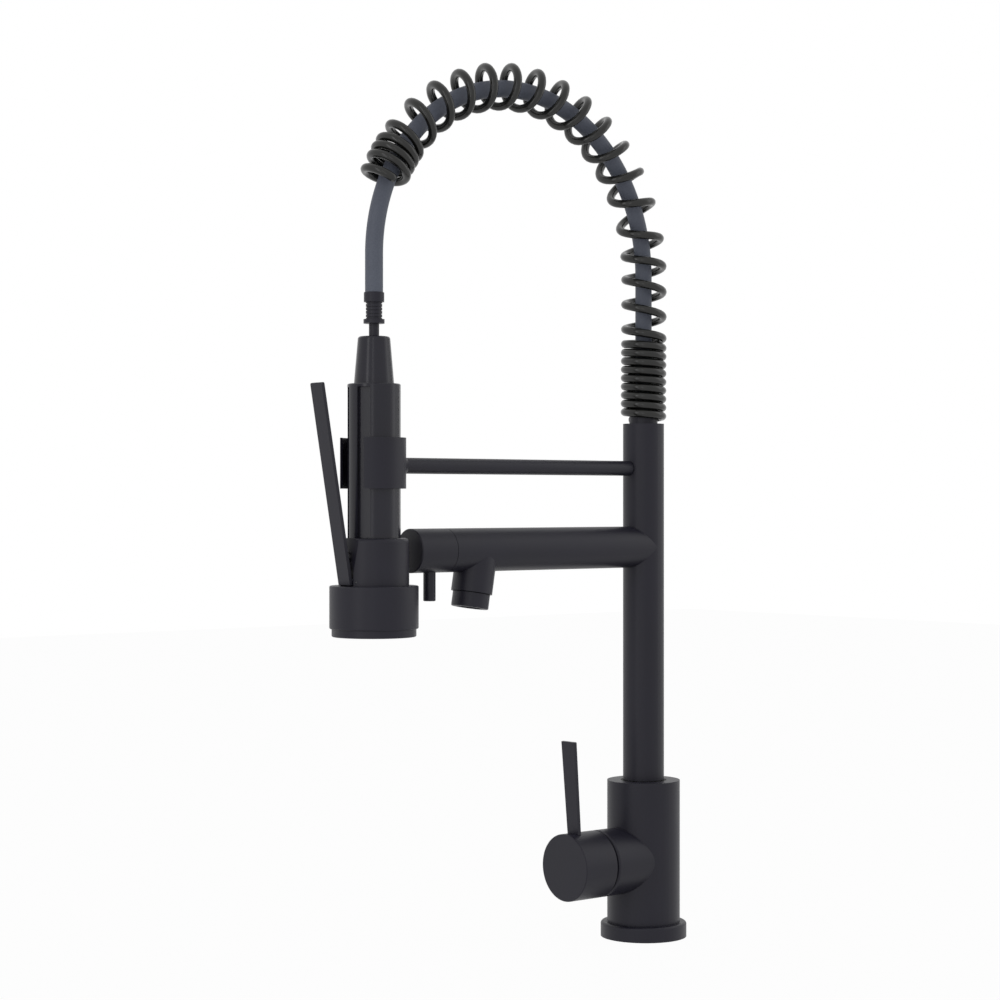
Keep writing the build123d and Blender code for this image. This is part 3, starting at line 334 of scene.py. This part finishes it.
def turn_angles(count: int) -> list[float]:
    """Equal steps of one full turn.

    Args:
        count: How many steps.

    Returns:
        The angles, in radians, from 0.
    """
    return [2 * math.pi * i / count for i in range(count)]


def wall(start: int, rings: int, sides: int, inward: bool) -> list[tuple[int, ...]]:
    """Faces between the rings of a tube.

    Args:
        start: Number of the first vertex.
        rings: How many rings there are.
        sides: Vertices in each ring.
        inward: True where the faces look at the tube's axis.

    Returns:
        The faces.
    """
    faces = []
    for r in range(rings - 1):
        for i in range(sides):
            j = (i + 1) % sides
            a, b = start + r * sides + i, start + r * sides + j
            face = (a, b, b + sides, a + sides)
            faces.append(face[::-1] if inward else face)
    return faces


def swept_tube(
    name: str, path: Sequence[Vector], radii: Sequence[float], sides: int, bore: float = 0.0
) -> bpy.types.Object:
    """Makes a round bar or hose along a path, closed at both ends.

    Args:
        name: Name of the piece.
        path: Points of its centre line.
        radii: Its outer radius at each point.
        sides: Points round each ring.
        bore: Radius of the hole through it, 0 for a solid bar.

    Returns:
        The object.
    """
    across = Vector((1.0, 0.0, 0.0))
    rings: list[list[Vector]] = []
    last = len(path) - 1
    for i, point in enumerate(path):
        along = (path[min(i + 1, last)] - path[max(i - 1, 0)]).normalized()
        across = (across - along * across.dot(along)).normalized()
        up = along.cross(across)
        rings.append([across * math.cos(a) + up * math.sin(a) for a in turn_angles(sides)])
    points = [p + d * r for p, r, ring in zip(path, radii, rings) for d in ring]
    faces = wall(0, len(path), sides, False)
    if bore:
        start = len(points)
        points += [p + d * bore for p, ring in zip(path, rings) for d in ring]
        faces += wall(start, len(path), sides, True)
        end_outer, end_inner = last * sides, start + last * sides
        for i in range(sides):
            j = (i + 1) % sides
            faces.append((i, start + i, start + j, j))
            faces.append((end_outer + i, end_outer + j, end_inner + j, end_inner + i))
    else:
        faces.append(tuple(range(sides))[::-1])
        faces.append(tuple(range(last * sides, last * sides + sides)))
    return mesh_piece(name, points, faces)


@dataclass
class Arch:
    """Centre line of the hose and spring: up the column, over, and down to the sprayer.

    Attributes:
        reach: Distance between its two straight parts.
        column_top: Height from which lengths along it count.
        springing: Height where both straight parts end.
    """

    reach: float = REACH
    column_top: float = 0.3125
    springing: float = 0.4023

    def __post_init__(self) -> None:
        """Works out the lengths of the straight part and of the half circle."""
        self.radius = self.reach / 2
        self.straight = self.springing - self.column_top
        self.crown = math.pi * self.radius

    def at(self, length: float) -> tuple[Vector, Vector]:
        """Point and unit direction at a length along the line above the column's top.

        Args:
            length: Metres along the line, negative below the column's top.

        Returns:
            The point and the direction.
        """
        if length <= self.straight:
            return Vector((0, 0, self.column_top + length)), Vector((0, 0, 1))
        if length >= self.straight + self.crown:
            drop = length - self.straight - self.crown
            return Vector((0, -self.reach, self.springing - drop)), Vector((0, 0, -1))
        angle = (length - self.straight) / self.radius
        out = self.radius * (1 - math.cos(angle))
        height = self.springing + self.radius * math.sin(angle)
        return Vector((0, -out, height)), Vector((0, -math.sin(angle), math.cos(angle)))

    def length_to(self, drop_z: float) -> float:
        """Length of the line down to a height on the sprayer's side.

        Args:
            drop_z: The height.

        Returns:
            Metres along the line above the column's top.
        """
        return self.straight + self.crown + self.springing - drop_z


# ------------------------------------------------------------------ sub-assemblies


@dataclass
class HoseAndSpring:
    """The arch: a slate-grey hose inside a black wire coil.

    Attributes:
        paint: Box of finishes.
        arch: Centre line that both follow.
        hose_r: Radius of the hose.
        hose_bore: Radius of its bore.
        hose_low: Height of its end in the column.
        hose_end: Height of its end in the hose nut.
        hose_step: Distance between its rings.
        hose_sides: Points round each ring.
        coil_r: Radius of the coil, to the middle of the wire.
        coil_lift: How far the coil's last turn is shifted outwards from the hose's axis.
        wire_r: Radius of the wire.
        first_gap: Gap between the column's top and the first turn.
        steps: Rings of the wire in each turn.
        wire_sides: Points round each ring.
        end_share: Radius of the wire's ends, as a share of the wire's.
        pitches: Turns and pitch of each stretch, from the column to the sprayer.
    """

    paint: Paintbox
    arch: Arch
    hose_r: float = 0.005
    hose_bore: float = 0.003
    hose_low: float = 0.304
    hose_end: float = 0.3765
    hose_step: float = 0.002
    hose_sides: int = 40
    coil_r: float = 0.0115
    coil_lift: float = 0.0025
    wire_r: float = 0.00245
    first_gap: float = 0.0003
    steps: int = 32
    wire_sides: int = 16
    end_share: float = 0.86
    pitches: tuple[tuple[float, float], ...] = (
        (9.5, 0.0052),
        (4, 0.0152),
        (1, 0.0228),
        (11, 0.0176),
        (1, 0.0170),
        (3, 0.0052),
        (1, 0.0095),
    )

    def build(self) -> list[bpy.types.Object]:
        """Makes the hose and the coil between the column and the hose end, with their transforms
        applied.

        Returns:
            The two pieces.
        """
        pieces = [self.hose(), self.coil()]
        for piece in pieces:
            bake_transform(piece)
        return pieces

    def hose(self) -> bpy.types.Object:
        """Makes the hose, from its seat in the column to its stop in the hose nut.

        Returns:
            The piece.
        """
        low = self.hose_low - self.arch.column_top
        high = self.arch.length_to(self.hose_end)
        count = round((high - low) / self.hose_step)
        path = [self.arch.at(low + (high - low) * i / count)[0] for i in range(count + 1)]
        radii = [self.hose_r] * len(path)
        piece = swept_tube("hose_skin", path, radii, self.hose_sides, self.hose_bore)
        self.paint.dress(piece, Surface.HOSE_SKIN)
        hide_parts("hose")
        return piece

    def coil(self) -> bpy.types.Object:
        """Makes the left-handed coil, close wound at both ends and open between them.

        The pitch at each step is the mean over about a turn, so stretches ease into each other.

        Returns:
            The piece.
        """
        steps_of = [p for turns, p in self.pitches for _ in range(round(turns * self.steps))]
        reach = self.steps // 2
        length = self.wire_r + self.first_gap
        path = []
        for i in range(len(steps_of) + 1):
            point, along = self.arch.at(length)
            outward = Vector((0, along.z, -along.y))
            turn = math.pi + 2 * math.pi * i / self.steps
            lift = self.coil_lift * (i / len(steps_of)) ** 2
            path.append(
                point
                + Vector((1, 0, 0)) * self.coil_r * math.cos(turn)
                - outward * (self.coil_r * math.sin(turn) - lift)
            )
            near = steps_of[max(i - reach, 0) : i + reach + 1] or steps_of[-1:]
            length += sum(near) / len(near) / self.steps
        radii = [self.wire_r] * len(path)
        radii[0] = radii[-1] = self.wire_r * self.end_share
        piece = swept_tube("spring_coil", path, radii, self.wire_sides)
        self.paint.dress(piece, Surface.COATED_WIRE)
        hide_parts("spring")
        return piece


@dataclass
class Jets:
    """Soft nozzles that stand out of the spray face's holes.

    Attributes:
        paint: Box of finishes.
        reach: Distance of the sprayer's axis from the column's.
        face_z: Height of the spray face.
        face_r: Radius of the spray face.
        hole_r: Radius of each hole.
        nozzle_r: Outer radius of a nozzle at its root.
        tip_share: Outer radius of its tip, as a share of its root's.
        stand: How far its tip stands out of the face.
        sunk: How far its root is sunk in the face.
        rings: Nozzles in each ring, from the middle out.
        rim_rings: Room between the last ring and the rim, in ring widths.
        sides: Steps round each nozzle.
    """

    paint: Paintbox
    reach: float = REACH
    face_z: float = 0.1911
    face_r: float = 0.021
    hole_r: float = 0.0009
    nozzle_r: float = 0.0015
    tip_share: float = 0.82
    stand: float = 0.0006
    sunk: float = 0.0002
    rings: tuple[int, ...] = (6, 12, 20)
    rim_rings: float = 0.6
    sides: int = 16

    def build(self) -> list[bpy.types.Object]:
        """Makes every nozzle, all riding on the sprayer.

        Returns:
            One piece that holds them all.
        """
        spots = [(0.0, 0.0)]
        for ring, count in enumerate(self.rings, start=1):
            radius = ring * self.face_r / (len(self.rings) + self.rim_rings)
            spots += [(radius * math.cos(a), radius * math.sin(a)) for a in turn_angles(count)]
        points: list[Vector] = []
        faces: list[tuple[int, ...]] = []
        for x, y in spots:
            self.add_nozzle(points, faces, Vector((x, y - self.reach, self.face_z)))
        piece = mesh_piece("spray_nozzles", points, faces)
        self.paint.dress(piece, Surface.ELASTOMER)
        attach(piece, "sprayer")
        return [piece]

    def add_nozzle(
        self, points: list[Vector], faces: list[tuple[int, ...]], centre: Vector
    ) -> None:
        """Adds one tapered, hollow nozzle to a mesh.

        Args:
            points: The mesh's vertices so far.
            faces: Its faces so far.
            centre: Middle of the hole, on the spray face.
        """
        profile = [
            (self.hole_r, self.sunk),
            (self.nozzle_r, self.sunk),
            (self.nozzle_r * self.tip_share, -self.stand),
            (self.hole_r, -self.stand),
        ]
        base, count = len(points), len(profile)
        for a in turn_angles(self.sides):
            points += [centre + Vector((r * math.cos(a), r * math.sin(a), z)) for r, z in profile]
        for s in range(self.sides):
            here = base + s * count
            ahead = base + ((s + 1) % self.sides) * count
            for i in range(count):
                j = (i + 1) % count
                faces.append((here + i, here + j, ahead + j, ahead + i))


NODE_SURFACES: dict[Surface, tuple[str, ...]] = {
    Surface.SATIN_BLACK: (
        "base_flange",
        "mixer_body",
        "handle_cap",
        "handle_lever",
        "column_tube",
        "spout_tube",
        "outlet_branch",
        "aerator_housing",
        "holder_rod",
        "spring_seat",
        "swivel_spigot",
        "holder_ring",
        "spout_end_cap",
        "spout_valve_pin",
        "squeeze_lever",
        "hose_nut",
        "hose_ferrule",
        "swivel_stem",
        "valve_housing",
        "nozzle_casing",
        "face_ring",
    ),
    Surface.MOULDED_BLACK: (
        "top_cone",
        "handle_shell",
    ),
    Surface.COATED_WIRE: ("spring",),
    Surface.HOSE_SKIN: ("hose",),
    Surface.ELASTOMER: (
        "deck_gasket",
        "slip_washer",
        "cartridge_seals",
        "swivel_seals",
        "rotor_seals",
        "aerator_washer",
        "face_seal",
        "spray_face",
    ),
    Surface.TURNED_BRASS: (
        "spout_rotor",
        "valve_gland",
        "lower_hose_nipple",
        "upper_hose_nipple",
        "cartridge_nut",
        "mixer_stem",
    ),
    Surface.TURNED_STEEL: (
        "swivel_screw",
        "tilt_pin",
        "handle_screw",
        "holder_screw",
        "lever_pin",
        "valve_spring",
        "valve_plunger",
    ),
    Surface.ACETAL: (
        "cartridge_body",
        "cartridge_carrier",
        "aerator_insert",
        "check_valve",
        "water_tube",
        "diffuser",
    ),
    Surface.CERAMIC: ("ceramic_disc",),
}


# ------------------------------------------------------------------ studio


@dataclass(frozen=True)
class SoftBox:
    """One tall, soft light that faces the middle of the mixer.

    Attributes:
        name: Name of the light.
        turn: Degrees round from the camera's side, positive to the right.
        rise: Degrees above the horizon.
        away: Metres from the middle.
        size: Width and height.
        power: Watts.
    """

    name: str
    turn: float
    rise: float
    away: float
    size: tuple[float, float]
    power: float


@dataclass
class Studio:
    """Camera, soft boxes, pale floor and white surroundings.

    Attributes:
        azimuth: Radians of the camera round the mixer, from the side the spout points to.
        distance: Distance from the column's axis back to the camera.
        camera_z: Height of the camera.
        aside: How far the camera stands to the right of the column's axis.
        lens_mm: Focal length.
        sensor_mm: Width of the sensor.
        middle: Point that the soft boxes face.
        boxes: The soft boxes.
        floor_size: Side of the floor.
        floor_drop: Gap under the flange, so that the two faces don't flicker.
        floor_tone: Reflectance of the floor.
        floor_glow: Share of plain white in what is seen of it, the rest being lit and shaded.
        ambient: Strength of the surroundings as a light.
    """

    azimuth: float = math.radians(50.1)
    distance: float = 1.406
    camera_z: float = 0.266
    aside: float = -0.08771
    lens_mm: float = 82.8
    sensor_mm: float = 36.0
    middle: tuple[float, float, float] = (0.0, -0.1, 0.27)
    boxes: tuple[SoftBox, ...] = (
        SoftBox("key_light", -38, 8, 1.3, (0.2, 1.4), 2.2),
        SoftBox("fill_light", -7, 4, 1.5, (0.12, 1.4), 1.0),
        SoftBox("rim_light", 95, 20, 1.4, (0.5, 1.2), 1.5),
    )
    floor_size: float = 6.0
    floor_drop: float = 0.0002
    floor_tone: float = 0.8
    floor_glow: float = 0.965
    ambient: float = 0.55

    def __post_init__(self) -> None:
        """Works out the camera's right-hand and backward directions."""
        sin, cos = math.sin(self.azimuth), math.cos(self.azimuth)
        self.right = Vector((cos, sin, 0))
        self.back = Vector((sin, -cos, 0))

    def build(self) -> None:
        """Makes everything round the object."""
        bpy.context.scene.view_settings.view_transform = "Standard"
        self.camera()
        self.floor()
        self.surroundings()
        for box in self.boxes:
            self.soft_box(box)

    def camera(self) -> None:
        """Puts the camera level, with no shift or tilt."""
        data = bpy.data.cameras.new("camera")
        data.lens = self.lens_mm
        data.sensor_width = self.sensor_mm
        camera = bpy.data.objects.new("camera", data)
        camera.location = (
            self.right * self.aside + self.back * self.distance + Vector((0, 0, self.camera_z))
        )
        camera.rotation_mode = "QUATERNION"
        camera.rotation_quaternion = (-self.back).to_track_quat("-Z", "Y")
        bpy.context.scene.collection.objects.link(camera)
        bpy.context.scene.camera = camera

    def soft_box(self, box: SoftBox) -> None:
        """Adds an area light that faces the middle of the mixer.

        Args:
            box: What the light is like.
        """
        data = bpy.data.lights.new(box.name, "AREA")
        data.shape = "RECTANGLE"
        data.size, data.size_y = box.size
        data.energy = box.power
        lamp = bpy.data.objects.new(box.name, data)
        around, up = math.radians(box.turn), math.radians(box.rise)
        flat = self.back * math.cos(around) + self.right * math.sin(around)
        towards = flat * math.cos(up) + Vector((0, 0, math.sin(up)))
        lamp.location = Vector(self.middle) + towards * box.away
        lamp.rotation_mode = "QUATERNION"
        lamp.rotation_quaternion = (-towards).to_track_quat("-Z", "Y")
        bpy.context.scene.collection.objects.link(lamp)

    def seen_white(self, tree: bpy.types.NodeTree) -> bpy.types.NodeSocket:
        """Adds up the camera, glossy and transmission rays, clamped to 1.

        Args:
            tree: Node tree that gets the nodes.

        Returns:
            The socket with the sum.
        """
        path = add_node(tree, "ShaderNodeLightPath")
        pair = add_node(tree, "ShaderNodeMath", {"operation": "ADD"})
        tree.links.new(path.outputs["Is Camera Ray"], pair.inputs[0])
        tree.links.new(path.outputs["Is Glossy Ray"], pair.inputs[1])
        both = add_node(tree, "ShaderNodeMath", {"operation": "ADD", "use_clamp": True})
        tree.links.new(pair.outputs[0], both.inputs[0])
        tree.links.new(path.outputs["Is Transmission Ray"], both.inputs[1])
        return both.outputs[0]

    def surroundings(self) -> None:
        """World that is white to the camera and a soft grey to the object's diffuse light."""
        world = bpy.data.worlds.new("studio_white")
        bpy.context.scene.world = world
        world.use_nodes = True
        tree = world.node_tree
        tree.nodes.clear()
        plain = {"Color": (1, 1, 1, 1)}
        dim = add_node(tree, "ShaderNodeBackground", plain | {"Strength": self.ambient})
        white = add_node(tree, "ShaderNodeBackground", plain | {"Strength": 1.0})
        mix = add_node(tree, "ShaderNodeMixShader", None, {"Fac": self.seen_white(tree)})
        tree.links.new(dim.outputs[0], mix.inputs[1])
        tree.links.new(white.outputs[0], mix.inputs[2])
        add_node(tree, "ShaderNodeOutputWorld", None, {"Surface": mix.outputs[0]})

    def floor(self) -> None:
        """Pale floor that keeps a faint shadow and melts into the white."""
        half = self.floor_size / 2
        square = ((-half, -half), (half, -half), (half, half), (-half, half))
        corners = [Vector((x, y, -self.floor_drop)) for x, y in square]
        floor = mesh_piece("floor", corners, [(0, 1, 2, 3)])
        material = bpy.data.materials.new("pale_floor")
        material.use_nodes = True
        tree = material.node_tree
        tree.nodes.clear()
        grey = (self.floor_tone, self.floor_tone, self.floor_tone, 1)
        matt = add_node(tree, "ShaderNodeBsdfDiffuse", {"Color": grey})
        glow = add_node(tree, "ShaderNodeEmission", {"Strength": 1.0})
        share = add_node(tree, "ShaderNodeMath", {"operation": "MULTIPLY"})
        tree.links.new(self.seen_white(tree), share.inputs[0])
        share.inputs[1].default_value = self.floor_glow
        mix = add_node(tree, "ShaderNodeMixShader", None, {"Fac": share.outputs[0]})
        tree.links.new(matt.outputs[0], mix.inputs[1])
        tree.links.new(glow.outputs[0], mix.inputs[2])
        add_node(tree, "ShaderNodeOutputMaterial", None, {"Surface": mix.outputs[0]})
        floor.data.materials.append(material)


def main() -> None:
    """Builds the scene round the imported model."""
    logging.basicConfig(level=logging.INFO, format="%(message)s")
    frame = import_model()
    Studio().build()
    paint = Paintbox()
    for surface, nodes in NODE_SURFACES.items():
        for node in nodes:
            paint.dress(frame["nodes"][node], surface)
    made = HoseAndSpring(paint, Arch()).build() + Jets(paint).build()
    for piece in made:
        log.info("%s: %d faces", piece.name, len(piece.data.polygons))


if __name__ == "__main__":
    main()
